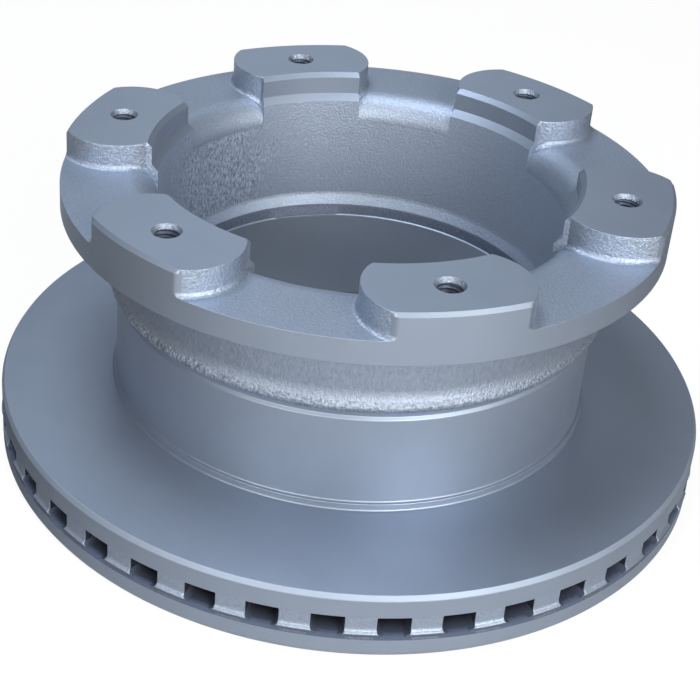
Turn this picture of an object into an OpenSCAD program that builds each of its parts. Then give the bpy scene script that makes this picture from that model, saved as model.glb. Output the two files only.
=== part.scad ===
// Ventilated brake disc of a light truck: one grey iron casting, machined and coated all over.
// The disc's axis is Z. Z = 0 is the inboard friction face and +Z points outboard, to the
// face of the six bolting pads. The first threaded hole lies on +X. Lengths in millimetres.
// "Height" always means height above the inboard friction face.

/* [Friction ring] */
// Widest diameter of the disc, over the cast ridge at the foot of the vanes
disc_diameter = 322; // [318:0.5:330]
// Thickness of the friction ring over both plates
ring_thickness = 30; // [29:0.1:31]
// Thickness of the outboard plate, the one joined to the neck
outboard_plate = 10.8; // [10.2:0.1:11.4]
// Thickness of the inboard plate
inboard_plate = 11; // [10.2:0.1:11.4]
// How much smaller in radius than the ridge the outboard rim is
rim_setback = 0.6; // [0.4:0.05:0.9]
// How much smaller in radius than the outboard rim the vane ends are
vane_recess = 0.8; // [0.5:0.05:1]
// How much smaller in radius than the ridge the inboard rim is
ridge_proud = 0.5; // [0.3:0.05:0.6]
// Height of the turned chamfer on both outer edges of the ring
rim_chamfer_height = 2.1; // [1.4:0.1:2.6]
// Radial depth of that chamfer
rim_chamfer_depth = 1.3; // [0.8:0.05:1.8]
// Diameter of the opening in the inboard plate
inboard_opening = 202; // [196:0.5:206]

/* [Vents] */
// Number of vanes, and of vent channels, around the ring
vane_count = 39; // [36:1:42]
// Width of a vane at the rim
vane_outer_width = 12.5; // [11.5:0.1:13]
// Width of a vane at its rounded inner end
vane_inner_width = 7.6; // [6.6:0.1:8.4]
// Radius at which the rounded inner ends of the vanes stand
vane_inner_radius = 104; // [102.5:0.5:108]
// Angle of the first vent channel, counted from the first threaded hole
vent_angle = 5.1; // [0:0.05:9]
// Rounding of the channel floor over the inboard rim
lip_rounding = 2.4; // [1:0.1:3]

/* [Neck] */
// Diameter of the turned part of the neck
neck_diameter = 215; // [214:0.1:215.8]
// Diameter of the low collar at the foot of the neck
collar_diameter = 219.8; // [219:0.1:220.8]
// Height of the collar above the outboard friction face
collar_height = 3.6; // [3:0.1:4.2]
// Radius of the turned fillet between the collar and the outboard friction face
collar_fillet = 1; // [0.6:0.1:1.4]
// Height at which the turned part ends
turned_end_height = 75.2; // [72:0.1:77]
// Diameter over the rounded bead above the turned part
bead_diameter = 222.4; // [221:0.1:224]
// Height of the middle of the bead
bead_height = 80.6; // [80:0.1:82]
// Radius of the bead's section
bead_rounding = 3; // [2.6:0.1:3.2]
// Diameter of the rough cast part of the neck above the bead
cast_neck_diameter = 218; // [216.6:0.1:219]

/* [Bore] */
// Diameter of the turned lower bore of the neck
bore_diameter = 168.8; // [167:0.1:169.4]
// Height at which the turned bore ends
bore_end_height = 65.4; // [63:0.1:67]
// Diameter of the sloping cast band where it meets the turned bore
band_diameter = 170.6; // [170.4:0.1:171.6]
// Height of the lower edge of the sloping shoulder
shoulder_low = 69.8; // [69:0.1:70.5]
// Height of the upper edge of the sloping shoulder
shoulder_high = 74.8; // [74:0.1:76]
// Diameter of the cast bore above the shoulder
cast_bore_diameter = 180.4; // [179:0.1:181]

/* [Flange] */
// Diameter of the bolting flange
flange_diameter = 265; // [263:0.5:267]
// Height of the flange's underside
flange_underside = 116; // [114:0.1:117.5]
// Height of the flange's upper face between the pads
flange_top = 126.8; // [126:0.1:127.5]
// Radius of the large rounding that rolls the upper face over into the bore
roll_rounding = 12.5; // [11:0.1:14]
// Radius of the cast fillet between the neck and the flange's underside
underside_fillet = 12; // [9:0.5:13]

/* [Pads] */
// Number of bolting pads, each with one threaded hole
pad_count = 6; // [4:1:7]
// Height of the disc, up to the machined pad faces
disc_height = 138.5; // [137:0.1:140]
// Radius of the bowed sides of a pad
pad_side_radius = 25; // [24:0.1:26]
// Distance of each side arc's centre from the middle plane of the pad
pad_side_offset = 8.8; // [8:0.1:9.6]
// Width of a pad where its sides run straight into the bore
pad_inner_width = 49.4; // [48:0.1:50]
// Radius of the cast fillet at the foot of a pad
pad_foot_fillet = 2; // [1:0.1:2.6]
// Chamfer on the outer edge of the pad faces
pad_chamfer = 1.5; // [0.8:0.1:2]
// Diameter of the turned register on the inner side of the pads
register_diameter = 186.2; // [185:0.1:187]
// Height at which the register starts
register_height = 128.3; // [128:0.1:129.5]
// Chamfer above the register
register_chamfer = 2.1; // [1.5:0.1:2.4]

/* [Threaded holes] */
// Diameter of the bolt circle
bolt_circle = 225; // [224:0.1:226]
// Diameter of the threaded holes at the crests of the thread
hole_diameter = 10.4; // [10:0.1:10.6]
// Diameter of the countersink at the mouth of a hole
hole_mouth = 12.6; // [12:0.1:13.4]
// Depth of a hole, without its drill point
hole_depth = 18; // [14:0.5:19]

/* [Hidden] */
$fa = 3;
$fs = 1.2;
iron = [0.5, 0.55, 0.62];
rim_r = disc_diameter / 2;
upper_r = rim_r - rim_setback;
vane_r = upper_r - vane_recess;
lower_r = rim_r - ridge_proud;
ridge_height = inboard_plate + 0.8;
gap_top = ring_thickness - outboard_plate;
gap = gap_top - inboard_plate;
neck_r = neck_diameter / 2;
collar_r = collar_diameter / 2;
collar_top = ring_thickness + collar_height;
cast_r = cast_neck_diameter / 2;
bead_r = bead_diameter / 2;
bore_r = bore_diameter / 2;
band_r = band_diameter / 2;
wall_r = cast_bore_diameter / 2;
shoulder_r = wall_r - 0.5;
taper_end = flange_top - roll_rounding - 9;
flange_r = flange_diameter / 2;
register_r = register_diameter / 2;
register_top = disc_height - register_chamfer;
lower_chamfer_drop = register_r - wall_r + 0.2;
pad_r = bolt_circle / 2 - 1;
pitch = 360 / vane_count;
foot_chamfer = 1;
edge_break = 0.4;

// A small square corner at the origin, less a circle: the section of a concave fillet
module corner(r) {
    difference() {
        translate([-0.5, -0.5]) square(r + 0.5);
        translate([r, r]) circle(r);
    }
}

// Half section of the casting between the pads, with the ring still without its vents
module turned_section() {
    difference() {
        union() {
            // ring: both plates and the foot of the neck that closes the outboard plate
            polygon([
                [inboard_opening / 2, foot_chamfer], [inboard_opening / 2 + foot_chamfer, 0],
                [lower_r - rim_chamfer_depth, 0], [lower_r, rim_chamfer_height],
                [lower_r, inboard_plate - 1.5], [lower_r - 0.15, inboard_plate - 1.1],
                [rim_r, ridge_height], [vane_r + 0.4, ridge_height + 0.8],
                [vane_r, ridge_height + 2],
                [vane_r, gap_top - 0.4], [upper_r, gap_top + 0.3],
                [upper_r, ring_thickness - rim_chamfer_height],
                [upper_r - rim_chamfer_depth, ring_thickness],
                [collar_r, ring_thickness],
                [collar_r, collar_top - 0.7], [collar_r - 0.7, collar_top],
                [bore_r, collar_top], [bore_r, gap_top + foot_chamfer],
                [bore_r + foot_chamfer, gap_top], [inboard_opening / 2, gap_top]
            ]);
            // neck: turned part, band, shoulder and cast wall
            polygon([
                [bore_r, collar_top - 1], [neck_r, collar_top - 1],
                [neck_r, turned_end_height - 0.8], [neck_r - 0.7, turned_end_height],
                [bead_r - bead_rounding, bead_height - bead_rounding + 0.4],
                [bead_r - bead_rounding, bead_height],
                [cast_r, bead_height + 6.2], [cast_r, flange_underside + 1],
                [wall_r, flange_underside + 1], [wall_r, taper_end],
                [shoulder_r, shoulder_high], [band_r + 1.4, shoulder_low],
                [band_r, bore_end_height + 0.3], [bore_r + 0.4, bore_end_height],
                [bore_r, bore_end_height - 0.4]
            ]);
            translate([bead_r - bead_rounding, bead_height]) circle(bead_rounding, $fn = 40);
            polygon([
                [cast_r - 1, bead_height + 6.2], [cast_r, bead_height + 6.2],
                [bead_r - 0.65, bead_height + 1.9], [bead_r - bead_rounding, bead_height]
            ]);
            // flange
            polygon([
                [wall_r, flange_underside - 2], [cast_r, flange_underside - 2],
                [cast_r, flange_underside],
                [flange_r - edge_break, flange_underside], [flange_r, flange_underside + edge_break],
                [flange_r, flange_top - edge_break], [flange_r - edge_break, flange_top],
                [wall_r, flange_top]
            ]);
            translate([cast_r, flange_underside]) mirror([0, 1]) corner(underside_fillet, $fn = 72);
            translate([neck_r, collar_top]) corner(0.6, $fn = 24);
            translate([collar_r, ring_thickness]) corner(collar_fillet, $fn = 24);
        }
        // the upper face rolls over into the bore
        difference() {
            translate([wall_r - 2, flange_top - roll_rounding])
                square([roll_rounding + 2, roll_rounding + 2]);
            translate([wall_r + roll_rounding, flange_top - roll_rounding])
                circle(roll_rounding, $fn = 72);
        }
    }
}

// Plan of one vane: tapered sides and a rounded inner end
module vane_plan() {
    polygon([
        [vane_inner_radius + vane_inner_width / 2, -vane_inner_width / 2],
        [rim_r + 3, -vane_outer_width / 2 - 0.2], [rim_r + 3, vane_outer_width / 2 + 0.2],
        [vane_inner_radius + vane_inner_width / 2, vane_inner_width / 2]
    ]);
    translate([vane_inner_radius + vane_inner_width / 2, 0]) circle(d = vane_inner_width, $fn = 32);
}

// The air space between the plates, from the bore out to the rim
module air_space() {
    intersection() {
        translate([0, 0, inboard_plate - lip_rounding - 1])
            linear_extrude(gap + lip_rounding + 1)
                difference() {
                    circle(rim_r + 2);
                    circle(bore_r - 3);
                    for (k = [0 : vane_count - 1])
                        rotate(vent_angle + (k + 0.5) * pitch) vane_plan();
                }
        rotate_extrude() difference() {
            union() {
                translate([bore_r - 2, inboard_plate]) square([rim_r - bore_r + 3, gap + 1]);
                translate([lower_r - lip_rounding, inboard_plate - lip_rounding])
                    square([lip_rounding + 1, lip_rounding + 0.5]);
            }
            translate([lower_r - lip_rounding, inboard_plate - lip_rounding])
                circle(lip_rounding, $fn = 40);
        }
    }
}

// Plan of the six pads: bowed sides, straight where they run into the bore
module pad_plans() {
    for (k = [0 : pad_count - 1]) rotate(k * 360 / pad_count) {
        for (side = [-1, 1]) translate([pad_r, side * pad_side_offset]) circle(pad_side_radius);
        translate([wall_r - 4, -pad_inner_width / 2]) square([9, pad_inner_width]);
        translate([wall_r, -pad_side_offset]) square([flange_r - wall_r, 2 * pad_side_offset]);
    }
}

// Fillets at the feet of the pads
module pad_feet() {
    for (k = [0 : pad_count - 1]) rotate(k * 360 / pad_count)
        for (side = [-1, 1])
            translate([pad_r, side * pad_side_offset, flange_top])
                rotate_extrude() difference() {
                    translate([pad_side_radius - 1, -1])
                        square([pad_foot_fillet + 1, pad_foot_fillet + 1]);
                    translate([pad_side_radius + pad_foot_fillet * 1.1, pad_foot_fillet * 1.1])
                        circle(pad_foot_fillet * 1.2, $fn = 40);
                }
}

// The pads, turned on their inner side, outer side and face
module pads() {
    intersection() {
        translate([0, 0, taper_end])
            linear_extrude(disc_height - taper_end + 1) pad_plans();
        rotate_extrude() polygon([
            [wall_r + 6, taper_end + 6], [wall_r, taper_end + 6],
            [wall_r, register_height - lower_chamfer_drop],
            [register_r, register_height], [register_r, register_top],
            [register_r + register_chamfer, disc_height],
            [flange_r - pad_chamfer, disc_height], [flange_r, disc_height - pad_chamfer],
            [flange_r, flange_underside + 2]
        ]);
    }
    intersection() {
        pad_feet();
        rotate_extrude() translate([wall_r + roll_rounding - 1, flange_top - 0.8])
            square([flange_r - wall_r - roll_rounding + 1, pad_foot_fillet + 2]);
    }
}

// The threaded holes, blind, with a countersunk mouth and a drill point
module holes() {
    drill_point = hole_diameter / 2 * 0.6;
    sink = (hole_mouth - hole_diameter) / 2;
    for (k = [0 : pad_count - 1]) rotate(k * 360 / pad_count)
        translate([bolt_circle / 2, 0, disc_height]) {
            translate([0, 0, -hole_depth]) cylinder(h = hole_depth + 1, d = hole_diameter, $fn = 40);
            translate([0, 0, -hole_depth - drill_point])
                cylinder(h = drill_point, d1 = 0, d2 = hole_diameter, $fn = 40);
            translate([0, 0, -sink])
                cylinder(h = sink + 1, d1 = hole_diameter, d2 = hole_diameter + 2 * (sink + 1), $fn = 40);
        }
}

// The whole casting
module brake_disc() {
    color(iron) difference() {
        union() {
            rotate_extrude() turned_section();
            pads();
        }
        air_space();
        holes();
    }
}

brake_disc();
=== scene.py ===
"""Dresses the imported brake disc: the turned and cast surfaces, pads, threads and vanes."""

import math

import bmesh
import bpy
from bpy.props import FloatProperty, FloatVectorProperty, IntProperty, PointerProperty
from mathutils import Matrix, Vector


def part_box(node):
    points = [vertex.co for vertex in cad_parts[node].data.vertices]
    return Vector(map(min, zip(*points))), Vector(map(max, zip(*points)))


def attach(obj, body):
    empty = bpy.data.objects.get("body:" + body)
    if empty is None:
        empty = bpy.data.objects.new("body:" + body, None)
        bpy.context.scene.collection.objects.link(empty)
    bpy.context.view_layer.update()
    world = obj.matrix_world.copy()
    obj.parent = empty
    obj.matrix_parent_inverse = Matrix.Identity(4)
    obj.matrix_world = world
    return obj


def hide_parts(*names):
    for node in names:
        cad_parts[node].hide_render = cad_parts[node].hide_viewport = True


bl_info = {
    "name": "Ventilated brake disc",
    "version": (1, 0, 0),
    "blender": (4, 5, 0),
    "location": "View3D > Sidebar > Brake disc",
    "description": "Builds the detailed surfaces of a one-piece ventilated brake disc",
    "category": "Object",
}

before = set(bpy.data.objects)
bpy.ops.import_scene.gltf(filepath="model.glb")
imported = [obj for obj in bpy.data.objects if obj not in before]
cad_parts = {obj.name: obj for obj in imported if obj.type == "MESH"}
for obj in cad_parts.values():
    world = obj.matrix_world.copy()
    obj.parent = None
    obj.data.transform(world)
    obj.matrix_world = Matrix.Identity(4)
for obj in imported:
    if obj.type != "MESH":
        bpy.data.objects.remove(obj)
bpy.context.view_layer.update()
NODE = "brake_disc"
BODY = "root"
LOW_CORNER, HIGH_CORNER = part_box(NODE)
MM = 0.001
# Middles and reaches in metres of the zones where the cast skin is coarse
COARSE_ZONES = (((-0.082, 0.038, 0.098), 0.042), ((-0.055, -0.097, 0.083), 0.042))
# How far their edges spread, and how far the noise moves the edges in and out
ZONE_SPREAD, ZONE_RAGGED = 0.025, 0.05
# Steps of a full turn: twelve for each vane, so that every channel mouth looks alike
TURN_STEPS = 468
# Steps of a small and of a large rounding, and where the large ones begin
SMALL_STEPS, LARGE_STEPS, LARGE_ROUNDING = 5, 15, 3 * MM
# Segments round a pad's side arcs and round a hole, and steps to one turn of the thread
PAD_SEGMENTS, HOLE_SEGMENTS, THREAD_STEPS = 200, 64, 8
# Cuts across a vane's end and along a pad's straight runs
VANE_CUTS, PAD_CUTS = 8, 22
# Half a channel's width at the rim, in shares of the way from one channel to the next
HALF_CHANNEL = 0.3
# How much of a vane's half width the rounding of its inner end takes
VANE_NOSE = 0.96
# A face looks outwards or inwards when its normal has more than this of the radius
FACING = 0.6
# Places closer than this in metres count as one
WELD = 1e-7
SHARP_ANGLE = math.radians(32)


def length(label, millimetres, description):
    """A length of the disc, as a property that the sidebar can show."""
    return FloatProperty(
        name=label, default=millimetres * MM, description=description, unit="LENGTH", precision=5
    )


def number(label, value, description):
    """A plain number of the disc, as a property that the sidebar can show."""
    return FloatProperty(name=label, default=value, description=description)


def tint(label, value, description):
    """A colour, as a property that the sidebar can show."""
    return FloatVectorProperty(
        name=label, default=value, description=description, subtype="COLOR", size=3, min=0, max=1
    )


class RingSizes(bpy.types.PropertyGroup):
    """Sizes of the two friction plates and the vanes between them."""

    rim_radius: length("Rim radius", HIGH_CORNER[0] / MM, "Radius over the ridge at the vane feet")
    setback: length("Rim setback", 0.6, "How much smaller the outboard rim is than the ridge")
    recess: length("Vane recess", 0.8, "How much smaller the vane ends are than the outboard rim")
    ridge_proud: length("Ridge", 0.5, "How much smaller the inboard rim is than the ridge")
    thickness: length("Thickness", 30, "Thickness of the friction ring over both plates")
    outboard_plate: length("Outboard plate", 10.8, "Thickness of the outboard plate")
    inboard_plate: length("Inboard plate", 11, "Thickness of the inboard plate")
    opening_radius: length("Opening radius", 101, "Radius of the opening in the inboard plate")
    chamfer_height: length("Chamfer height", 2.1, "Height of the chamfers on the outer edges")
    chamfer_depth: length("Chamfer depth", 1.3, "Radial depth of those chamfers")
    lip_rounding: length("Lip rounding", 2.4, "Rounding of the channel floor over the inboard rim")
    vanes: IntProperty(name="Vanes", default=39, description="Number of vanes around the ring")
    vane_outer: length("Vane at the rim", 12.5, "Width of a vane at the rim")
    vane_inner: length("Vane inner end", 7.6, "Width of a vane at its rounded inner end")
    vane_start: length("Vane start", 104, "Radius at which the inner ends of the vanes stand")
    mouth_easing: length("Mouth easing", 0.5, "Rounding of a vane's two upright edges at the rim")
    vent_angle: number("Vent angle", 5.1, "Angle in degrees from the first hole to a channel")
    # Reach from the rim of the lighter part of the floor's painted shade; the plate's section and
    # each vane's plan keep a point there
    coated_floor: length("Coated floor", 8, "How far in from the rim the floors are coated")
    root_fillet: length("Vane root fillet", 2.2, "Cast fillet between a vane and the inboard plate")


class NeckSizes(bpy.types.PropertyGroup):
    """Sizes of the neck, its bead and the bore inside it."""

    radius: length("Neck radius", 107.5, "Radius of the turned part of the neck")
    collar_radius: length("Collar radius", 108.9, "Radius of the low collar at the neck's foot")
    collar_height: length("Collar height", 3.4, "Height of the collar over the friction face")
    collar_fillet: length("Collar fillet", 0.8, "Fillet between the collar and the friction face")
    turned_end: length("Turned end", 75.2, "Height at which the turned part ends")
    bead_radius: length("Bead radius", 111.2, "Radius over the rounded bead")
    bead_height: length("Bead height", 80.6, "Height of the middle of the bead")
    bead_rounding: length("Bead rounding", 3, "Radius of the bead's section")
    cast_radius: length("Cast radius", 109, "Radius of the rough cast part above the bead")
    bore_radius: length("Bore radius", 84.4, "Radius of the turned lower bore")
    bore_end: length("Bore end", 65.4, "Height at which the turned bore ends")
    flush_start: number("Flush start", 108.5, "Angle in degrees where the band starts to run flush")
    flush_end: number("Flush end", 132, "Angle in degrees where the band stops running flush")
    band_radius: length("Band radius", 85.3, "Radius of the cast band above the turned bore")
    shoulder_low: length("Shoulder low", 69.8, "Height of the shoulder's lower edge")
    shoulder_high: length("Shoulder high", 74.8, "Height of the shoulder's upper edge")
    wall_radius: length("Wall radius", 90.2, "Radius of the cast bore under the flange")


class FlangeSizes(bpy.types.PropertyGroup):
    """Sizes of the bolting flange, its pads and the threaded holes."""

    radius: length("Flange radius", 132.5, "Radius of the bolting flange")
    underside: length("Underside", 116, "Height of the flange's underside")
    top: length("Top", 126.8, "Height of the flange's upper face between the pads")
    roll: length("Roll rounding", 12.5, "Rounding of the upper face over into the bore")
    fillet: length("Underside fillet", 12, "Cast fillet between neck and flange")
    pads: IntProperty(name="Pads", default=6, description="Number of bolting pads")
    height: length("Height", HIGH_CORNER[2] / MM, "Height of the pad faces")
    pad_radius: length("Pad radius", 111.5, "Radius at which the middles of the pads lie")
    side_radius: length("Pad side radius", 25, "Radius of the bowed sides of a pad")
    side_offset: length("Pad side offset", 8.8, "Distance of a side arc's centre from mid pad")
    half_width: length("Pad inner half width", 24.7, "Half the width of a pad at the bore")
    foot: length("Pad foot fillet", 2, "Cast fillet at the foot of a pad")
    chamfer: length("Pad chamfer", 1.5, "Chamfer on the outer edge of the pad faces")
    register_radius: length("Register radius", 93.1, "Radius of the turned register")
    register_height: length("Register height", 128.3, "Height at which the register starts")
    register_chamfer: length("Register chamfer", 2.1, "Chamfer above the register")
    bolt_circle: length("Bolt circle radius", 112.5, "Radius of the bolt circle")
    hole_radius: length("Hole radius", 5.2, "Crest radius of the threaded holes")
    mouth_radius: length("Mouth radius", 6.3, "Radius of the countersunk mouths")
    sink: length("Countersink", 2, "Depth of the countersunk mouths")
    hole_depth: length("Hole depth", 18, "Depth of a hole without its drill point")
    thread_pitch: length("Thread pitch", 1.75, "Pitch of the thread")
    thread_depth: length("Thread depth", 0.6, "Depth of the thread's roots")


class CoatingLooks(bpy.types.PropertyGroup):
    """Colours of the coating, of the painted shade on it, and of the stage."""

    coating: tint("Coating", (0.28, 0.336, 0.434), "Blue-grey protective coating")
    # Painted shade: a darker coat for the threads, the ridge's underside and the cast band
    hollows: tint("Hollows", (0.1, 0.126, 0.18), "Coating in the hollows of the cast skin")
    # Painted shade: near black for the deep parts of each channel
    channels: tint("Channel skin", (0.018, 0.02, 0.03), "Thinly coated skin in the channels")
    # Painted shade: the lighter, outer end of the darkening ramp on the channel floor
    floors: tint("Channel floors", (0.058, 0.076, 0.122), "Coating on the channel floors' ends")
    floor: tint("Floor", (0.9, 0.9, 0.9), "Pale studio floor")


def ring_sizes():
    return bpy.context.scene.disc_ring


def neck_sizes():
    return bpy.context.scene.disc_neck


def flange_sizes():
    return bpy.context.scene.disc_flange


def looks():
    return bpy.context.scene.disc_looks


# Materials


# Metallic, roughness and, where it isn't Blender's own, specular level of the surfaces
SATIN, BARE_SKIN = (0.8, 0.5), (0, 0.9, 0.1)


def new_material(name):
    """A material with nodes, and its node tree, to which the helpers below add."""
    material = bpy.data.materials.new(name)
    material.use_nodes = True
    return material, material.node_tree


def feed(tree, socket, value):
    """Links an output to the socket, or sets the socket to a plain value."""
    if isinstance(value, bpy.types.NodeSocket):
        tree.links.new(value, socket)
    else:
        socket.default_value = value


def node(tree, kind, inputs, **settings):
    """A new node with its settings, and each named input fed with an output or a value."""
    made = tree.nodes.new("ShaderNode" + kind)
    for name, value in settings.items():
        setattr(made, name, value)
    for key, value in inputs.items():
        feed(tree, made.inputs[key], value)
    return made


def maths(tree, operation, *values, kind="Math"):
    """The number that a Math or a VectorMath node makes of the values."""
    return node(tree, kind, dict(enumerate(values)), operation=operation).outputs["Value"]


def noise(tree, place, scale, detail, roughness=0.5):
    """A noise texture on the given coordinates, scale in waves per metre."""
    inputs = {"Vector": place, "Scale": scale, "Detail": detail, "Roughness": roughness}
    return node(tree, "TexNoise", inputs).outputs["Fac"]


def stretched(tree, place, scale):
    """The coordinates scaled along each axis, for a grain that runs one way."""
    return node(tree, "Mapping", {"Vector": place, "Scale": scale}).outputs["Vector"]


def bump(tree, height, distance, below=None):
    """A bump of the given height in metres, over another bump where one is given."""
    inputs = {"Height": height, "Distance": distance, "Strength": 1}
    if below is not None:
        inputs["Normal"] = below
    return node(tree, "Bump", inputs).outputs["Normal"]


def tone(tree, factor, dark, light, low, high):
    """A colour between dark and light where the factor runs from low to high."""
    ramp = node(tree, "ValToRGB", {"Fac": factor})
    ramp.color_ramp.elements[0].position = low
    ramp.color_ramp.elements[0].color = (*dark, 1)
    ramp.color_ramp.elements[1].position = high
    ramp.color_ramp.elements[1].color = (*light, 1)
    return ramp.outputs["Color"]


def between(tree, share, first, second):
    """The first colour where the share is 0, the second where it is 1."""
    inputs = {"Factor": share, 6: first, 7: second}
    return node(tree, "Mix", inputs, data_type="RGBA").outputs[2]


def object_place(tree):
    """Object coordinates, which stay with the disc wherever it is seen from."""
    return node(tree, "TexCoord", {}).outputs["Object"]


def from_axis(tree, place):
    """Distance from the disc's axis, and height."""
    parts = node(tree, "SeparateXYZ", {"Vector": place}).outputs
    flat = node(tree, "CombineXYZ", {"X": parts["X"], "Y": parts["Y"]}).outputs["Vector"]
    return maths(tree, "LENGTH", flat, kind="VectorMath"), parts["Z"]


def around(colour, darker, lighter):
    """A darker and a lighter shade of a colour, for the two ends of a variation."""
    return [channel * darker for channel in colour], [channel * lighter for channel in colour]


def coat(tree, colour, normal, metallic, roughness, specular=0.5):
    """Gives the Principled shader its colour and its bump, and sets how it shines."""
    inputs = tree.nodes["Principled BSDF"].inputs
    feed(tree, inputs["Base Color"], colour)
    feed(tree, inputs["Normal"], normal)
    inputs["Metallic"].default_value = metallic
    inputs["Roughness"].default_value = roughness
    inputs["Specular IOR Level"].default_value = specular


def turned(name, roughness):
    """Coating over turned faces: smooth, with a faint cloudiness and fine turning marks."""
    material, tree = new_material(name)
    place = object_place(tree)
    shades = around(looks().coating, 0.985, 1.015)
    colour = tone(tree, noise(tree, place, 60, 4), *shades, 0.35, 0.65)
    distance, height = from_axis(tree, place)
    section = node(tree, "CombineXYZ", {"X": distance, "Z": height}).outputs["Vector"]
    marks = bump(tree, noise(tree, section, 1500, 2), 0.01 * MM)
    grain = bump(tree, noise(tree, place, 1200, 3), 0.02 * MM, marks)
    coat(tree, colour, grain, SATIN[0], roughness)
    return material


def turned_coating():
    """Coating over the broad turned faces."""
    return turned("turned_coating", 0.48)


def chamfer_coating():
    """Coating over the narrow chamfer of the rim, which dried duller."""
    return turned("chamfer_coating", 0.62)


def grained(name, shades, scale, relief, shine, high=0.65):
    """A skin in a dark and a light shade, with a grain of the given scale and relief."""
    material, tree = new_material(name)
    grain = noise(tree, object_place(tree), scale, 4, 0.6)
    coat(tree, tone(tree, grain, *shades, 0.35, high), bump(tree, grain, relief), *shine)
    return material


def skin_coating():
    """Coating over the fettled skin of the flange: fine sand grain."""
    shades = around(looks().coating, 0.95, 1.12)
    return grained("skin_coating", shades, 900, 0.3 * MM, SATIN)


def shaded_hollow_coating():
    """Coating darkened with painted shade: on the cast band, in the threads and under the ridge."""
    shades = around(looks().hollows, 0.85, 1.15)
    return grained("shaded_hollow_coating", shades, 900, 0.3 * MM, (0.6, 0.55))


def shaded_channel_skin():
    """Near-black painted shade deep in each channel, on a dull and rough skin."""
    shades = around(looks().channels, 0.7, 1.1)
    return grained("shaded_channel_skin", shades, 500, 0.4 * MM, BARE_SKIN, 0.62)


def channel_floor_shade():
    """Painted shade on the channel floor: near black inwards, lighter towards its outer end at the
    rim.
    """
    material, tree = new_material("channel_floor_shade")
    place = object_place(tree)
    ring = ring_sizes()
    rim = ring.rim_radius - ring.ridge_proud
    inner, outer = rim - ring.coated_floor, rim - 0.5 * MM
    distance, _ = from_axis(tree, place)
    colour = tone(tree, distance, looks().channels, looks().floors, inner, outer)
    coat(tree, colour, bump(tree, noise(tree, place, 700, 4, 0.6), 0.3 * MM), *BARE_SKIN)
    return material


def coarse_zones(tree, place):
    """1 inside the two zones where the cast skin is coarse and pitted, fading to 0 round them."""
    share = 0
    edge = noise(tree, place, 90, 3)
    for centre, reach in COARSE_ZONES:
        away = maths(tree, "DISTANCE", place, centre, kind="VectorMath")
        ragged = maths(tree, "MULTIPLY_ADD", edge, ZONE_RAGGED, away)
        start, end = reach + ZONE_SPREAD, 0.5 * reach + ZONE_SPREAD
        near = node(tree, "MapRange", {"Value": ragged, "From Min": start, "From Max": end})
        share = maths(tree, "MAXIMUM", near.outputs["Result"], share)
    return share


def pitted(name, scale, relief, shades, pits, roughness=SATIN[1]):
    """Coating over cast skin: sand grain, with pits and scratches in the coarse zones."""
    material, tree = new_material(name)
    place = object_place(tree)
    zones = coarse_zones(tree, place)
    fine = noise(tree, place, scale, 4, 0.6)
    coarse = noise(tree, stretched(tree, place, (1, 1, 0.5)), 950, 5, 0.7)
    even = tone(tree, fine, *around(looks().coating, *shades), 0.35, 0.65)
    rough = tone(tree, coarse, *around(looks().coating, 0.45, 1.85), pits, pits + 0.3)
    hollow = bump(tree, coarse, 0.5 * MM)
    feed(tree, hollow.node.inputs["Strength"], zones)
    normal = bump(tree, fine, relief, hollow)
    coat(tree, between(tree, zones, even, rough), normal, SATIN[0], roughness)
    return material


def side_coating():
    """Coating over the bowed sides of the pads: bright, sparkling grain."""
    return pitted("side_coating", 850, 0.45 * MM, (0.98, 1.35), 0.32, 0.48)


def cast_coating():
    """Coating over the rough cast skin of the bore."""
    return pitted("cast_coating", 1000, 0.3 * MM, (1.15, 1.35), 0.32)


def shaded_bead_coating():
    """Coating over the bead and the countersinks: rough, and darker with painted shade, which also
    dims the countersinks' highlight.
    """
    return pitted("shaded_bead_coating", 800, 0.6 * MM, (0.62, 1.2), 0.4)


def streaked_coating():
    """Coating over cast skin with upright streaks, as on the neck under the flange."""
    material, tree = new_material("streaked_coating")
    place = object_place(tree)
    streaks = noise(tree, stretched(tree, place, (1, 1, 0.3)), 1100, 4, 0.6)
    grain = noise(tree, place, 1100, 3, 0.6)
    colour = tone(tree, streaks, *around(looks().coating, 0.82, 1.02), 0.34, 0.64)
    normal = bump(tree, grain, 0.25 * MM, bump(tree, streaks, 0.2 * MM))
    coat(tree, colour, normal, *SATIN)
    return material


# Mesh helpers


def ring_order(bm):
    """The vertices of a single closed loop of edges, in their order round it."""
    bm.verts.ensure_lookup_table()
    order = [bm.verts[0]]
    edge = order[0].link_edges[0]
    while True:
        following = edge.other_vert(order[-1])
        if following is order[0]:
            return order
        order.append(following)
        edge = next(e for e in following.link_edges if e is not edge)


def ring_edges(bm, ring):
    """The edges of a closed ring of vertices."""
    return [bm.edges.get(pair) for pair in zip(ring, ring[1:] + ring[:1])]


def raised(bm, ring):
    """Extrudes a closed ring of vertices and returns the new ring in the same order."""
    made = bmesh.ops.extrude_edge_only(bm, edges=ring_edges(bm, ring))["geom"]
    fresh = {item for item in made if isinstance(item, bmesh.types.BMVert)}
    return [
        next(e.other_vert(v) for e in v.link_edges if e.other_vert(v) in fresh) for v in ring
    ]


def loft(bm, ring, levels, place):
    """Extrudes the ring level by level. place(index, level) says where each vertex goes."""
    for count, level in enumerate(levels):
        if count:
            ring = raised(bm, ring)
        for index, vert in enumerate(ring):
            vert.co = place(index, level)
    return ring


def repeated(part, angles):
    """A mesh with a copy of the part at each angle about the disc's axis. Frees the part."""
    bm = bmesh.new()
    for angle in angles:
        mesh = bpy.data.meshes.new("part")
        part.to_mesh(mesh)
        mesh.transform(Matrix.Rotation(angle, 4, "Z"))
        bm.from_mesh(mesh)
        bpy.data.meshes.remove(mesh)
    part.free()
    return bm


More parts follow.
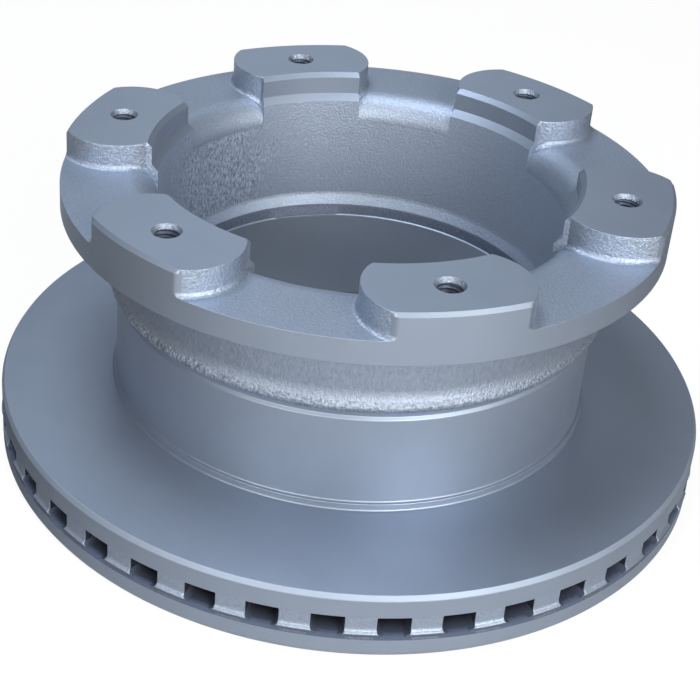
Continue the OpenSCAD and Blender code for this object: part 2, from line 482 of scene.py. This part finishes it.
def round_corners(bm, corners, reach, steps):
    """Rounds the corners of a flat outline, each over the given reach."""
    bmesh.ops.bevel(
        bm, geom=corners, affect="VERTICES", offset=reach, offset_type="OFFSET",
        segments=steps, profile=0.5, material=-1, clamp_overlap=False,
    )


def corner(radius, height, rounding=0.0):
    """One corner of a half section: where it lies and how far its rounding reaches."""
    return (radius, height, rounding)


def half_section(bm, corners):
    """A closed outline in the XZ plane through the corners, with each rounded as it says."""
    verts = [bm.verts.new((radius, 0, height)) for radius, height, _ in corners]
    bm.faces.new(verts)
    for reach in sorted({rounding for _, _, rounding in corners if rounding > 0}):
        picked = [v for v, (_, _, rounding) in zip(verts, corners) if rounding == reach]
        round_corners(bm, picked, reach, SMALL_STEPS if reach < LARGE_ROUNDING else LARGE_STEPS)
    bmesh.ops.delete(bm, geom=bm.faces[:], context="FACES_ONLY")


def turn(bm):
    """Spins the outline once round the disc's axis and closes it."""
    bmesh.ops.spin(
        bm, geom=bm.verts[:] + bm.edges[:], cent=(0, 0, 0), axis=(0, 0, 1), dvec=(0, 0, 0),
        angle=math.tau, steps=TURN_STEPS, use_merge=True, use_duplicate=False,
    )
    bmesh.ops.remove_doubles(bm, verts=bm.verts[:], dist=WELD)
    bmesh.ops.recalc_face_normals(bm, faces=bm.faces[:])


def finish_piece(bm, name):
    """Makes the piece's object, smooth but for its sharp edges, and ties it to the disc."""
    for face in bm.faces:
        face.smooth = True
    for edge in bm.edges:
        if len(edge.link_faces) == 2 and edge.calc_face_angle(0) > SHARP_ANGLE:
            edge.smooth = False
    mesh = bpy.data.meshes.new(name)
    bm.to_mesh(mesh)
    bm.free()
    piece = bpy.data.objects.new(name, mesh)
    bpy.context.scene.collection.objects.link(piece)
    for material in coatings():
        mesh.materials.append(material)
    weighted = piece.modifiers.new("face weighted normals", "WEIGHTED_NORMAL")
    weighted.keep_sharp = True
    weighted.weight = 80
    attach(piece, BODY)
    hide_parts(NODE)


TURNED, CHAMFER, SKIN, SIDE, CAST, SHADED_BEAD, STREAKED, SHADED_HOLLOW, SHADED_CHANNEL, FLOOR_SHADE = range(10)


def coatings():
    """The disc's finishes in the order of their numbers, each made the first time."""
    makers = (
        turned_coating, chamfer_coating, skin_coating, side_coating, cast_coating, shaded_bead_coating,
        streaked_coating, shaded_hollow_coating, shaded_channel_skin, channel_floor_shade,
    )
    return [bpy.data.materials.get(maker.__name__) or maker() for maker in makers]


# The hat: neck, flange and the outboard plate, one turned section


def hat_corners():
    """The hat's half section, from the foot of the bore out and round."""
    ring, neck, flange = ring_sizes(), neck_sizes(), flange_sizes()
    gap_top = ring.thickness - ring.outboard_plate
    upper = ring.rim_radius - ring.setback
    collar_top = ring.thickness + neck.collar_height
    bead_in = neck.bead_radius - neck.bead_rounding
    taper_end = flange.top - flange.roll - 9 * MM
    sharp, eased = 0.15 * MM, 0.3 * MM
    return [
        corner(neck.bore_radius, gap_top + 1 * MM, eased),
        corner(neck.bore_radius + 1 * MM, gap_top, eased),
        corner(upper - 0.9 * MM, gap_top, sharp),
        corner(upper, gap_top + 0.5 * MM, 0.25 * MM),
        corner(upper, ring.thickness - ring.chamfer_height, 0.35 * MM),
        corner(upper - ring.chamfer_depth, ring.thickness, sharp),
        corner(neck.collar_radius, ring.thickness, neck.collar_fillet),
        corner(neck.collar_radius, collar_top, 0.35 * MM),
        corner(neck.radius, collar_top, 0.75 * MM),
        corner(neck.radius, neck.turned_end - 1.3 * MM, 0.25 * MM),
        corner(neck.radius - 1.2 * MM, neck.turned_end, eased),
        corner(bead_in + 0.3 * MM, neck.bead_height - 2.4 * MM, 0.8 * MM),
        corner(neck.bead_radius + 0.9 * MM, neck.bead_height + 0.1 * MM, 2.4 * MM),
        corner(neck.cast_radius, neck.bead_height + 6.2 * MM, 2.5 * MM),
        corner(neck.cast_radius, flange.underside, flange.fillet),
        corner(flange.radius, flange.underside, 0.4 * MM),
        corner(flange.radius, flange.top, 0.12 * MM),
        corner(neck.wall_radius, flange.top, flange.roll),
        corner(neck.wall_radius, taper_end, eased),
        corner(neck.wall_radius - 0.5 * MM, neck.shoulder_high, 1.2 * MM),
        corner(neck.band_radius + 1.4 * MM, neck.shoulder_low, 1.1 * MM),
        corner(neck.band_radius, neck.bore_end, 0.2 * MM),
        corner(neck.bore_radius + 0.3 * MM, neck.bore_end - 0.2 * MM, 0.1 * MM),
        corner(neck.bore_radius, neck.bore_end - 0.5 * MM, 0.1 * MM),
    ]


def flush_share(place):
    """1 where the cast band runs flush into the turned bore, 0 where it leaves a ledge."""
    neck = neck_sizes()
    angle = math.degrees(math.atan2(place.y, place.x))
    return min(1, max(0, angle - neck.flush_start)) * min(1, max(0, neck.flush_end - angle))


def ease_band(bm):
    """Brings the foot of the cast band in to the bore where it runs flush."""
    neck = neck_sizes()
    reach, foot = neck.band_radius + 1 * MM, neck.bore_end - 0.3 * MM
    for vert in bm.verts:
        radius, height = vert.co.to_2d().length, vert.co.z
        if radius < reach and foot < height < neck.shoulder_low:
            level = (neck.shoulder_low - height) / (neck.shoulder_low - neck.bore_end)
            ledge = max(0, radius - neck.bore_radius - 0.05 * MM)
            scale = 1 - flush_share(vert.co) * min(1, level) * ledge / radius
            vert.co.x *= scale
            vert.co.y *= scale


def hat_finish(face):
    """Which finish a face of the hat has, from where it lies."""
    ring, neck, flange = ring_sizes(), neck_sizes(), flange_sizes()
    centre = face.calc_center_median()
    radius, height = centre.to_2d().length, centre.z
    roll_start = flange.top - flange.roll
    # The channel ceiling under the outboard plate is near black: painted shade
    if height < ring.thickness - ring.outboard_plate + 0.1 * MM:
        return SHADED_CHANNEL
    rim_face = ring.thickness - ring.chamfer_height
    if radius > neck.collar_radius and rim_face < height < ring.thickness - 10 * WELD:
        return CHAMFER
    # Painted shade: the cast band above the turned bore gets the darker coat
    band_foot = neck.bore_end - 0.05 * MM
    if radius < neck.band_radius + 1.5 * MM and band_foot < height < neck.shoulder_low:
        return SHADED_HOLLOW
    if radius < neck.wall_radius + flange.roll and height > neck.bore_end + 0.2 * MM:
        if height > roll_start or height < neck.shoulder_high + 0.4 * MM:
            return SKIN
        return CAST
    if height > flange.top - 0.1 * MM:
        return SKIN
    if radius > neck.radius + 0.3 * MM and neck.turned_end < height < flange.underside + 0.2 * MM:
        # The bead's darker coat is painted shade
        if height < neck.bead_height + 3.5 * MM:
            return SHADED_BEAD
        return STREAKED if radius < neck.bead_radius + flange.fillet else SKIN
    return TURNED


class DISC_OT_hat(bpy.types.Operator):
    """Build the hat: the outboard plate, the neck and the bolting flange"""

    bl_idname = "brake_disc.hat"
    bl_label = "Hat"

    def execute(self, context):
        bm = bmesh.new()
        half_section(bm, hat_corners())
        turn(bm)
        ease_band(bm)
        for face in bm.faces:
            face.material_index = hat_finish(face)
        finish_piece(bm, "hat_and_outboard_plate")
        return {"FINISHED"}


# The inboard plate


def in_channel(place):
    """Whether a place lies between two vanes, counted at the rim."""
    ring = ring_sizes()
    pitch = 360 / ring.vanes
    turn = math.degrees(math.atan2(place.y, place.x)) - ring.vent_angle
    return abs((turn + pitch / 2) % pitch - pitch / 2) < HALF_CHANNEL * pitch


class DISC_OT_inboard_plate(bpy.types.Operator):
    """Build the inboard plate of the friction ring"""

    bl_idname = "brake_disc.inboard_plate"
    bl_label = "Inboard plate"

    def execute(self, context):
        ring = ring_sizes()
        rim, top = ring.rim_radius - ring.ridge_proud, ring.inboard_plate
        bm = bmesh.new()
        half_section(bm, [
            corner(ring.opening_radius, 1 * MM, 0.2 * MM),
            corner(ring.opening_radius + 1 * MM, 0, 0.2 * MM),
            corner(rim - ring.chamfer_depth, 0, 0.2 * MM),
            corner(rim, ring.chamfer_height, 0.2 * MM),
            corner(rim, top, ring.lip_rounding),
            corner(rim - ring.coated_floor, top),
            corner(ring.opening_radius, top, 1.5 * MM),
        ])
        turn(bm)
        for face in bm.faces:
            centre = face.calc_center_median()
            # Painted shade: near black deep on the floor and in the opening, a darkening ramp on
            # the floor's outer part in each channel, and the darker coat on the lip between them
            inside = centre.to_2d().length < rim - ring.coated_floor and centre.z > 1.1 * MM
            lip = centre.z > top - ring.lip_rounding + 0.3 * MM
            edge = FLOOR_SHADE if in_channel(centre) else SHADED_HOLLOW
            face.material_index = SHADED_CHANNEL if inside else edge if lip else TURNED
        finish_piece(bm, "inboard_plate")
        return {"FINISHED"}


# The vanes


def vane_end():
    """Radius at which the vanes end, a little inside the outboard rim."""
    ring = ring_sizes()
    return ring.rim_radius - ring.setback - ring.recess


def vane_ring(bm):
    """The plan of one vane along +X: tapered, round at its inner end, eased at the rim."""
    ring = ring_sizes()
    inner, outer = ring.vane_inner / 2, ring.vane_outer / 2
    end = vane_end()
    # Radius from which the floor's painted shade lightens towards the rim; the plan keeps a point
    # there
    less_shaded = end - ring.coated_floor
    share = (less_shaded - ring.vane_start) / (end - ring.vane_start)
    middle = inner + (outer - inner) * share
    plan = [
        (ring.vane_start, -inner), (less_shaded, -middle), (end, -outer),
        (end, outer), (less_shaded, middle), (ring.vane_start, inner),
    ]
    verts = [bm.verts.new((x, y, 0)) for x, y in plan]
    bm.faces.new(verts)
    round_corners(bm, verts[:1] + verts[5:], inner * VANE_NOSE, 6)
    round_corners(bm, verts[2:4], ring.mouth_easing, 3)
    rim_edges = [e for e in bm.edges if min(v.co.x for v in e.verts) > end - 10 * WELD]
    bmesh.ops.subdivide_edges(bm, edges=rim_edges, cuts=VANE_CUTS)
    bmesh.ops.delete(bm, geom=bm.faces[:], context="FACES_ONLY")
    return ring_order(bm)


def outward(points):
    """For each point of a closed plan, the direction and amount by which it grows outwards."""
    ways = []
    area = sum(a.cross(b) for a, b in zip(points, points[1:] + points[:1]))
    side = math.copysign(1, area)
    for before, here, after in zip(points[-1:] + points[:-1], points, points[1:] + points[:1]):
        first, second = (here - before).normalized(), (after - here).normalized()
        normals = [Vector((way.y, -way.x)) * side for way in (first, second)]
        middle = (normals[0] + normals[1]).normalized()
        ways.append(middle / max(0.5, middle.dot(normals[1])))
    return ways


def stepwise(steps, at):
    """The value between the (place, value) steps, held level before and after them."""
    if at <= steps[0][0]:
        return steps[0][1]
    for (low, first), (high, second) in zip(steps, steps[1:]):
        if at <= high:
            return first + (second - first) * (at - low) / (high - low)
    return steps[-1][1]


def rim_profile():
    """Heights with the radius of a vane's end: inboard rim, cast ridge, ledge, upright end."""
    ring = ring_sizes()
    rim, floor = ring.rim_radius, ring.inboard_plate
    lower, end = rim - ring.ridge_proud, vane_end()
    return [
        (floor - 1.5 * MM, lower - 0.3 * MM), (floor - 0.9 * MM, lower - 0.15 * MM),
        (floor - 0.35 * MM, lower + 0.01 * MM), (floor + 0.45 * MM, rim - 0.13 * MM),
        (floor + 0.6 * MM, rim - 0.03 * MM),
        (floor + 0.8 * MM, rim), (floor + 1 * MM, rim - 0.07 * MM),
        (floor + 1.2 * MM, rim - 0.3 * MM), (floor + 1.55 * MM, end + 0.62 * MM),
        (floor + 1.95 * MM, end + 0.28 * MM), (floor + 2.5 * MM, end + 0.08 * MM),
        (floor + 3.1 * MM, end),
    ]


def vane_levels():
    """Heights of a vane's rings with how far each spreads: wide at the root, less at the top."""
    ring = ring_sizes()
    root, floor = ring.root_fillet, ring.inboard_plate
    ceiling = ring.thickness - ring.outboard_plate
    top = 0.4 * root
    levels = [(floor - ring.lip_rounding - 0.6 * MM, root)]
    heights = [height for height, _ in rim_profile()] + [floor, floor + 4.5 * MM]
    turns = [math.radians(angle) for angle in (20, 40, 65, 90)]
    heights += [floor + root * math.sin(angle) for angle in turns]
    for height in sorted(heights):
        rise = min(1, max(0, (height - floor) / root))
        levels.append((height, root * (1 - math.sqrt(1 - (1 - rise) ** 2))))
    levels += [(ceiling - top * (1 - math.sin(a)), top * (1 - math.cos(a))) for a in [0] + turns]
    levels.append((ceiling + 0.35 * MM, top))
    return levels


def make_vane():
    """One vane along +X, closed, from below the channel floor to above its ceiling."""
    end, profile = vane_end(), rim_profile()
    bm = bmesh.new()
    first = vane_ring(bm)
    plan = [v.co.to_2d() for v in first]
    ways = outward(plan)

    def place(index, level):
        height, spread = level
        short = end - plan[index].length
        here = plan[index] + ways[index] * spread
        if short < 2 * MM:
            here = here.normalized() * (stepwise(profile, height) - max(short, 0))
        return Vector((here.x, here.y, height))

    last = loft(bm, first, vane_levels(), place)
    bm.faces.new(first)
    bm.faces.new(last)
    bmesh.ops.recalc_face_normals(bm, faces=bm.faces[:])
    return bm


class DISC_OT_vanes(bpy.types.Operator):
    """Build the vanes between the two plates"""

    bl_idname = "brake_disc.vanes"
    bl_label = "Vanes"

    def execute(self, context):
        ring, end = ring_sizes(), vane_end()
        vane = make_vane()
        for face in vane.faces:
            centre = face.calc_center_median()
            radius, rise = centre.to_2d().length, centre.z - ring.inboard_plate
            # Painted shade on the vane: near black along its sides deep in the channel, the lighter
            # floor ramp at its foot near the rim, and the darker coat under the ridge
            if radius < end - 1 * MM:
                less_shaded = rise < 2 * MM and radius > end - ring.coated_floor
                face.material_index = FLOOR_SHADE if less_shaded else SHADED_CHANNEL
            else:
                face.material_index = SHADED_HOLLOW if centre.z < ring.inboard_plate + 0.5 * MM else SKIN
        pitch = 360 / ring.vanes
        angles = (ring.vent_angle + (count + 0.5) * pitch for count in range(ring.vanes))
        finish_piece(repeated(vane, map(math.radians, angles)), "vanes")
        return {"FINISHED"}


# The bolting pads with their threaded holes


def pad_ring(bm):
    """The plan of the pad on +X before turning: two arcs with straight runs between them."""
    flange = flange_sizes()
    made = bmesh.ops.create_circle(
        bm, cap_ends=False, segments=PAD_SEGMENTS, radius=flange.side_radius
    )
    for vert in made["verts"]:
        side = 1 if vert.co.y > 0 else -1
        vert.co.x += flange.pad_radius
        vert.co.y += side * flange.side_offset
    spans = [e for e in bm.edges if e.calc_length() > flange.side_offset]
    bmesh.ops.subdivide_edges(bm, edges=spans, cuts=PAD_CUTS)
    return ring_order(bm)


def register_drop():
    """Height of the turned chamfer between the cast wall and the register."""
    return flange_sizes().register_radius - neck_sizes().wall_radius + 0.2 * MM


def pad_inside(height):
    """Radius of the pads' inner side: cast wall, chamfer, register, chamfer."""
    neck, flange = neck_sizes(), flange_sizes()
    start, top = flange.register_height, flange.height
    return stepwise([
        (start - register_drop(), neck.wall_radius - 0.01 * MM), (start, flange.register_radius),
        (top - flange.register_chamfer, flange.register_radius),
        (top, flange.register_radius + flange.register_chamfer),
    ], height)


def pad_outside(height):
    """Radius of the pads' outer side, with the chamfer at its top."""
    flange = flange_sizes()
    rim, top = flange.radius + 0.01 * MM, flange.height
    return stepwise([(top - flange.chamfer, rim), (top, rim - flange.chamfer)], height)


def seat_at(radius):
    """Height of the flange's upper face at a radius, and how level it lies there, from 1 to 0."""
    flange = flange_sizes()
    inward = (neck_sizes().wall_radius + flange.roll - radius) / flange.roll
    if inward <= 0:
        return flange.top, 1
    level = math.sqrt(max(0, 1 - inward ** 2))
    return flange.top - flange.roll * (1 - level), level


def pad_point(base, spread, height):
    """Where a point of the untrimmed plan lies at a height, spread outwards and then turned."""
    flange = flange_sizes()
    centre = Vector((flange.pad_radius, math.copysign(flange.side_offset, base.y)))
    reach = math.sqrt(flange.side_radius ** 2 - (flange.half_width - flange.side_offset) ** 2)
    if abs(base.y) < flange.side_offset:
        x, y = base
    elif base.x < centre.x - reach:
        x, y = 0, base.y * (1 + spread / flange.half_width)
    else:
        x, y = base + (base - centre).normalized() * spread
    low = math.sqrt(pad_inside(height) ** 2 - y ** 2)
    high = math.sqrt(pad_outside(height) ** 2 - y ** 2)
    return Vector((min(max(x, low), high), y))


def pad_levels():
    """A pad's levels: rises over the flange at its foot, then heights, each with its spread."""
    flange = flange_sizes()
    foot, top, start = flange.foot, flange.height, flange.register_height
    levels = [(-0.3 * foot, 0, foot)]
    for angle in (0, 12, 28, 46, 66, 90):
        turn = math.radians(angle)
        levels.append((foot * (1 - math.cos(turn)), 0, foot * (1 - math.sin(turn))))
    heights = (start - register_drop(), start, top - flange.register_chamfer, top - flange.chamfer)
    levels += [(0, height, 0) for height in heights]
    ease = 0.3 * MM
    levels += [(0, top - ease, 0), (0, top - 0.3 * ease, -0.3 * ease), (0, top, -ease)]
    return levels


def thread_radius(depth, angle):
    """Radius of the threaded wall at a depth under the pad face and an angle round the hole."""
    flange = flange_sizes()
    if depth <= flange.sink:
        return stepwise([(0, flange.mouth_radius), (flange.sink, flange.hole_radius)], depth)
    run = (depth / flange.thread_pitch + angle / math.tau) % 1
    groove = 1 - abs(2 * run - 1)
    starts = min(1, (depth - flange.sink) / (0.4 * flange.thread_pitch))
    ends = min(1, (flange.hole_depth - depth) / flange.thread_pitch)
    return flange.hole_radius + flange.thread_depth * groove * max(0, min(starts, ends))


def add_threaded_hole(bm):
    """The countersunk, threaded and blind hole of the pad on +X. Returns its mouth's edges."""
    flange = flange_sizes()
    made = bmesh.ops.create_circle(
        bm, cap_ends=False, segments=HOLE_SEGMENTS, radius=flange.mouth_radius
    )
    ring = made["verts"]
    angles = [math.atan2(v.co.y, v.co.x) for v in ring]
    mouth = ring_edges(bm, ring)
    step = flange.thread_pitch / THREAD_STEPS
    count = int((flange.hole_depth - flange.sink) / step)
    depths = [0] + [flange.sink + step * index for index in range(count + 1)]

    def place(index, depth):
        radius = thread_radius(depth, angles[index])
        x = flange.bolt_circle + radius * math.cos(angles[index])
        return Vector((x, radius * math.sin(angles[index]), flange.height - depth))

    last = loft(bm, ring, depths, place)
    tip = flange.height - flange.hole_depth - 0.6 * flange.hole_radius
    bmesh.ops.pointmerge(bm, verts=raised(bm, last), merge_co=(flange.bolt_circle, 0, tip))
    return mouth


def make_pad():
    """The pad on +X: its foot in the flange, turned sides, milled face and threaded hole."""
    flange = flange_sizes()
    bm = bmesh.new()
    first = pad_ring(bm)
    plan = [v.co.to_2d() for v in first]

    def place(index, level):
        rise, height, spread = level
        seat, slope = seat_at(pad_point(plan[index], 0, flange.underside).length)
        if not height:
            spread *= slope
            height = seat + rise * max(slope, 0.1)
        elif height < flange.register_height + 0.01 * MM:
            # Where the foot reaches as high as the register, the levels stay just apart
            gap = 0.02 * MM if height < flange.register_height else 0.04 * MM
            height = max(height, seat + flange.foot * max(slope, 0.1) + gap)
        point = pad_point(plan[index], spread, height)
        return Vector((point.x, point.y, height))

    last = loft(bm, first, pad_levels(), place)
    brim = ring_edges(bm, last)
    mouth = add_threaded_hole(bm)
    bmesh.ops.triangle_fill(bm, use_beauty=True, edges=brim + mouth, normal=(0, 0, 1))
    heel = ring_edges(bm, first)
    bmesh.ops.triangle_fill(bm, use_beauty=False, edges=heel, normal=(0, 0, -1))
    bmesh.ops.recalc_face_normals(bm, faces=bm.faces[:])
    return bm


def pad_finish(face):
    """Milled and turned faces are smooth; the bowed sides and the feet keep the cast skin."""
    flange = flange_sizes()
    centre = face.calc_center_median()
    radius, height = centre.to_2d().length, centre.z
    radial = face.normal.to_2d().dot(centre.to_2d().normalized())
    from_hole = (centre.to_2d() - Vector((flange.bolt_circle, 0))).length
    if height > flange.height - 0.05 * MM:
        return TURNED
    # Round the hole: the countersink's darker coat dims its highlight with painted shade, and the
    # threads below are in painted shade
    if from_hole < flange.mouth_radius + 0.1 * MM:
        return SHADED_BEAD if height > flange.height - flange.sink - 0.1 * MM else SHADED_HOLLOW
    if radius > flange.radius - flange.chamfer and radial > FACING:
        return TURNED
    inner_side = flange.register_radius + flange.register_chamfer + 0.1 * MM
    if radius < inner_side and radial < -FACING:
        return TURNED if height > flange.register_height - register_drop() else CAST
    return SIDE


class DISC_OT_pads(bpy.types.Operator):
    """Build the bolting pads with their threaded holes"""

    bl_idname = "brake_disc.pads"
    bl_label = "Bolting pads"

    def execute(self, context):
        flange = flange_sizes()
        pad = make_pad()
        for face in pad.faces:
            face.material_index = pad_finish(face)
        angles = (math.tau * count / flange.pads for count in range(flange.pads))
        finish_piece(repeated(pad, angles), "bolting_pads")
        return {"FINISHED"}


# The stage: floor, world, lights and camera


# The photograph's camera: where it stands, what it looks at, its lens, and its turns in
# degrees about its own axes, the last three small ones
PHOTO_AZIMUTH, PHOTO_ELEVATION = -78.67, 34.833
CAMERA_DISTANCE, CAMERA_TARGET = 0.73029, Vector((0, 0, 0.00195))
LENS, SENSOR, SHIFT = 77.6, 36, (0.18, -0.1414)
CAMERA_TURNS = (
    (PHOTO_AZIMUTH + 90, "Z"), (90 - PHOTO_ELEVATION, "X"), (5.01, "Y"), (5.655, "X"), (5.696, "Z"),
)
WARM, COOL = (1.05, 1, 0.92), (0.94, 1, 1.07)
# Azimuth from the camera's side, elevation, power and colour of each light
SOFTBOXES = (
    ("key", 30, 20, 20.8, WARM), ("left", -25, 20, 10.9, WARM), ("right", 50, 38, 6.7, WARM),
    ("top", -90, 78, 17, COOL), ("back", -177, 30, 1.3, COOL),
)
LAMP_SIZE, LAMP_DISTANCE, LAMP_TARGET = 0.7, 1.5, Vector((0, 0, 0.06))
WORLD_STRENGTH = 0.1
# Azimuth and strength of the soft lobes in which the floor lights the metal
FLOOR_LOBES = ((0, 0.6), (60, 0.28), (-150, 0.62))
# Share of the floor's look to the camera that is plain white, the rest being its shadow
FLOOR_WHITE = 0.9
FLOOR_SIZE, FLOOR_DROP = 6, 0.2 * MM


def direction(azimuth, elevation):
    """Unit vector to a place on the sky, the azimuth counted from the camera's own side."""
    flat = math.cos(math.radians(elevation))
    turn = math.radians(PHOTO_AZIMUTH + azimuth)
    return Vector((flat * math.cos(turn), flat * math.sin(turn), math.sin(math.radians(elevation))))


def either_ray(tree, *names):
    """1 for any of the named kinds of ray, 0 for the others."""
    rays = node(tree, "LightPath", {}).outputs
    found = rays[names[0]]
    for name in names[1:]:
        found = maths(tree, "MAXIMUM", found, rays[name])
    return found


def mixed(tree, factor, first, second):
    """The first shader where the factor is 0, the second where it is 1."""
    return node(tree, "MixShader", {"Fac": factor, 1: first, 2: second}).outputs["Shader"]


def glow(tree, way, lobes):
    """The sum of soft lobes, each brightest where the way points to its own azimuth."""
    unit = node(tree, "VectorMath", {0: way}, operation="NORMALIZE").outputs["Vector"]
    total = 0
    for azimuth, strength in lobes:
        along = maths(tree, "DOT_PRODUCT", unit, direction(azimuth, 0), kind="VectorMath")
        lobe = maths(tree, "POWER", maths(tree, "MAXIMUM", along, 0), 3)
        total = maths(tree, "ADD", maths(tree, "MULTIPLY", lobe, strength), total)
    return total


def studio_floor():
    """Pale floor: it glows white to the camera under a soft shadow, and greyer to the metal."""
    material, tree = new_material("studio_floor")
    shader = tree.nodes["Principled BSDF"]
    shader.inputs["Base Color"].default_value = (*looks().floor, 1)
    shader.inputs["Roughness"].default_value = 0.9
    shader.inputs["Specular IOR Level"].default_value = 0.1
    lit = shader.outputs["BSDF"]
    white = node(tree, "Emission", {}).outputs["Emission"]
    strength = glow(tree, stretched(tree, object_place(tree), (1, 1, 0)), FLOOR_LOBES)
    to_metal = node(tree, "Emission", {"Strength": strength}).outputs["Emission"]
    shiny = either_ray(tree, "Is Glossy Ray", "Is Transmission Ray")
    to_rays = mixed(tree, shiny, lit, to_metal)
    to_camera = mixed(tree, FLOOR_WHITE, lit, white)
    shown = mixed(tree, either_ray(tree, "Is Camera Ray"), to_rays, to_camera)
    feed(tree, tree.nodes["Material Output"].inputs["Surface"], shown)
    return material


def studio_world():
    """White where the camera sees it, dim where it lights the disc."""
    world = bpy.data.worlds.new("studio")
    world.use_nodes = True
    tree = world.node_tree
    lit = tree.nodes["Background"]
    lit.inputs["Color"].default_value = (*COOL, 1)
    lit.inputs["Strength"].default_value = WORLD_STRENGTH
    seen = node(tree, "Background", {"Color": (1, 1, 1, 1)}).outputs["Background"]
    camera = either_ray(tree, "Is Camera Ray")
    shown = mixed(tree, camera, lit.outputs["Background"], seen)
    feed(tree, tree.nodes["World Output"].inputs["Surface"], shown)
    bpy.context.scene.world = world


def softbox(name, azimuth, elevation, power, colour):
    """A square area light that looks at the middle of the disc."""
    light = bpy.data.lights.new(name, "AREA")
    light.shape = "SQUARE"
    light.size = LAMP_SIZE
    light.energy = power
    light.color = colour
    lamp = bpy.data.objects.new(name, light)
    way = direction(azimuth, elevation)
    lamp.location = way * LAMP_DISTANCE + LAMP_TARGET
    lamp.rotation_euler = way.to_track_quat("Z", "Y").to_euler()
    lamp.visible_camera = False
    bpy.context.scene.collection.objects.link(lamp)


def photo_camera():
    """The camera at the photograph's viewing angle, with its small turns and its shift."""
    data = bpy.data.cameras.new("camera")
    data.lens = LENS
    data.sensor_width = SENSOR
    data.shift_x, data.shift_y = SHIFT
    data.clip_start = 0.01
    pose = Matrix.Identity(4)
    for angle, axis in CAMERA_TURNS:
        pose = pose @ Matrix.Rotation(math.radians(angle), 4, axis)
    where = direction(0, PHOTO_ELEVATION) * CAMERA_DISTANCE + CAMERA_TARGET
    camera = bpy.data.objects.new("camera", data)
    camera.matrix_world = Matrix.Translation(where) @ pose
    bpy.context.scene.collection.objects.link(camera)
    bpy.context.scene.camera = camera


class DISC_OT_stage(bpy.types.Operator):
    """Build the pale floor, the soft lights and the camera"""

    bl_idname = "brake_disc.stage"
    bl_label = "Stage"

    def execute(self, context):
        bm = bmesh.new()
        bmesh.ops.create_grid(bm, x_segments=2, y_segments=2, size=FLOOR_SIZE)
        mesh = bpy.data.meshes.new("floor")
        bm.to_mesh(mesh)
        bm.free()
        mesh.materials.append(studio_floor())
        floor = bpy.data.objects.new("floor", mesh)
        floor.location.z = LOW_CORNER[2] - FLOOR_DROP
        context.scene.collection.objects.link(floor)
        studio_world()
        for box in SOFTBOXES:
            softbox(*box)
        photo_camera()
        context.scene.view_settings.view_transform = "Standard"
        return {"FINISHED"}


# The add-on


OPERATORS = (DISC_OT_hat, DISC_OT_inboard_plate, DISC_OT_vanes, DISC_OT_pads, DISC_OT_stage)


class DISC_PT_panel(bpy.types.Panel):
    """The disc's pieces, in the order in which they are built"""

    bl_idname = "DISC_PT_panel"
    bl_label = "Brake disc"
    bl_space_type = "VIEW_3D"
    bl_region_type = "UI"
    bl_category = "Brake disc"

    def draw(self, context):
        for operator in OPERATORS:
            self.layout.operator(operator.bl_idname)


GROUPS = {
    "disc_ring": RingSizes, "disc_neck": NeckSizes,
    "disc_flange": FlangeSizes, "disc_looks": CoatingLooks,
}


def register():
    for cls in (*GROUPS.values(), *OPERATORS, DISC_PT_panel):
        bpy.utils.register_class(cls)
    for name, group in GROUPS.items():
        setattr(bpy.types.Scene, name, PointerProperty(type=group))


def unregister():
    for name in GROUPS:
        delattr(bpy.types.Scene, name)
    for cls in (DISC_PT_panel, *reversed(OPERATORS), *GROUPS.values()):
        bpy.utils.unregister_class(cls)


def main():
    register()
    bpy.ops.brake_disc.hat()
    bpy.ops.brake_disc.inboard_plate()
    bpy.ops.brake_disc.vanes()
    bpy.ops.brake_disc.pads()
    bpy.ops.brake_disc.stage()


if __name__ == "__main__":
    main()
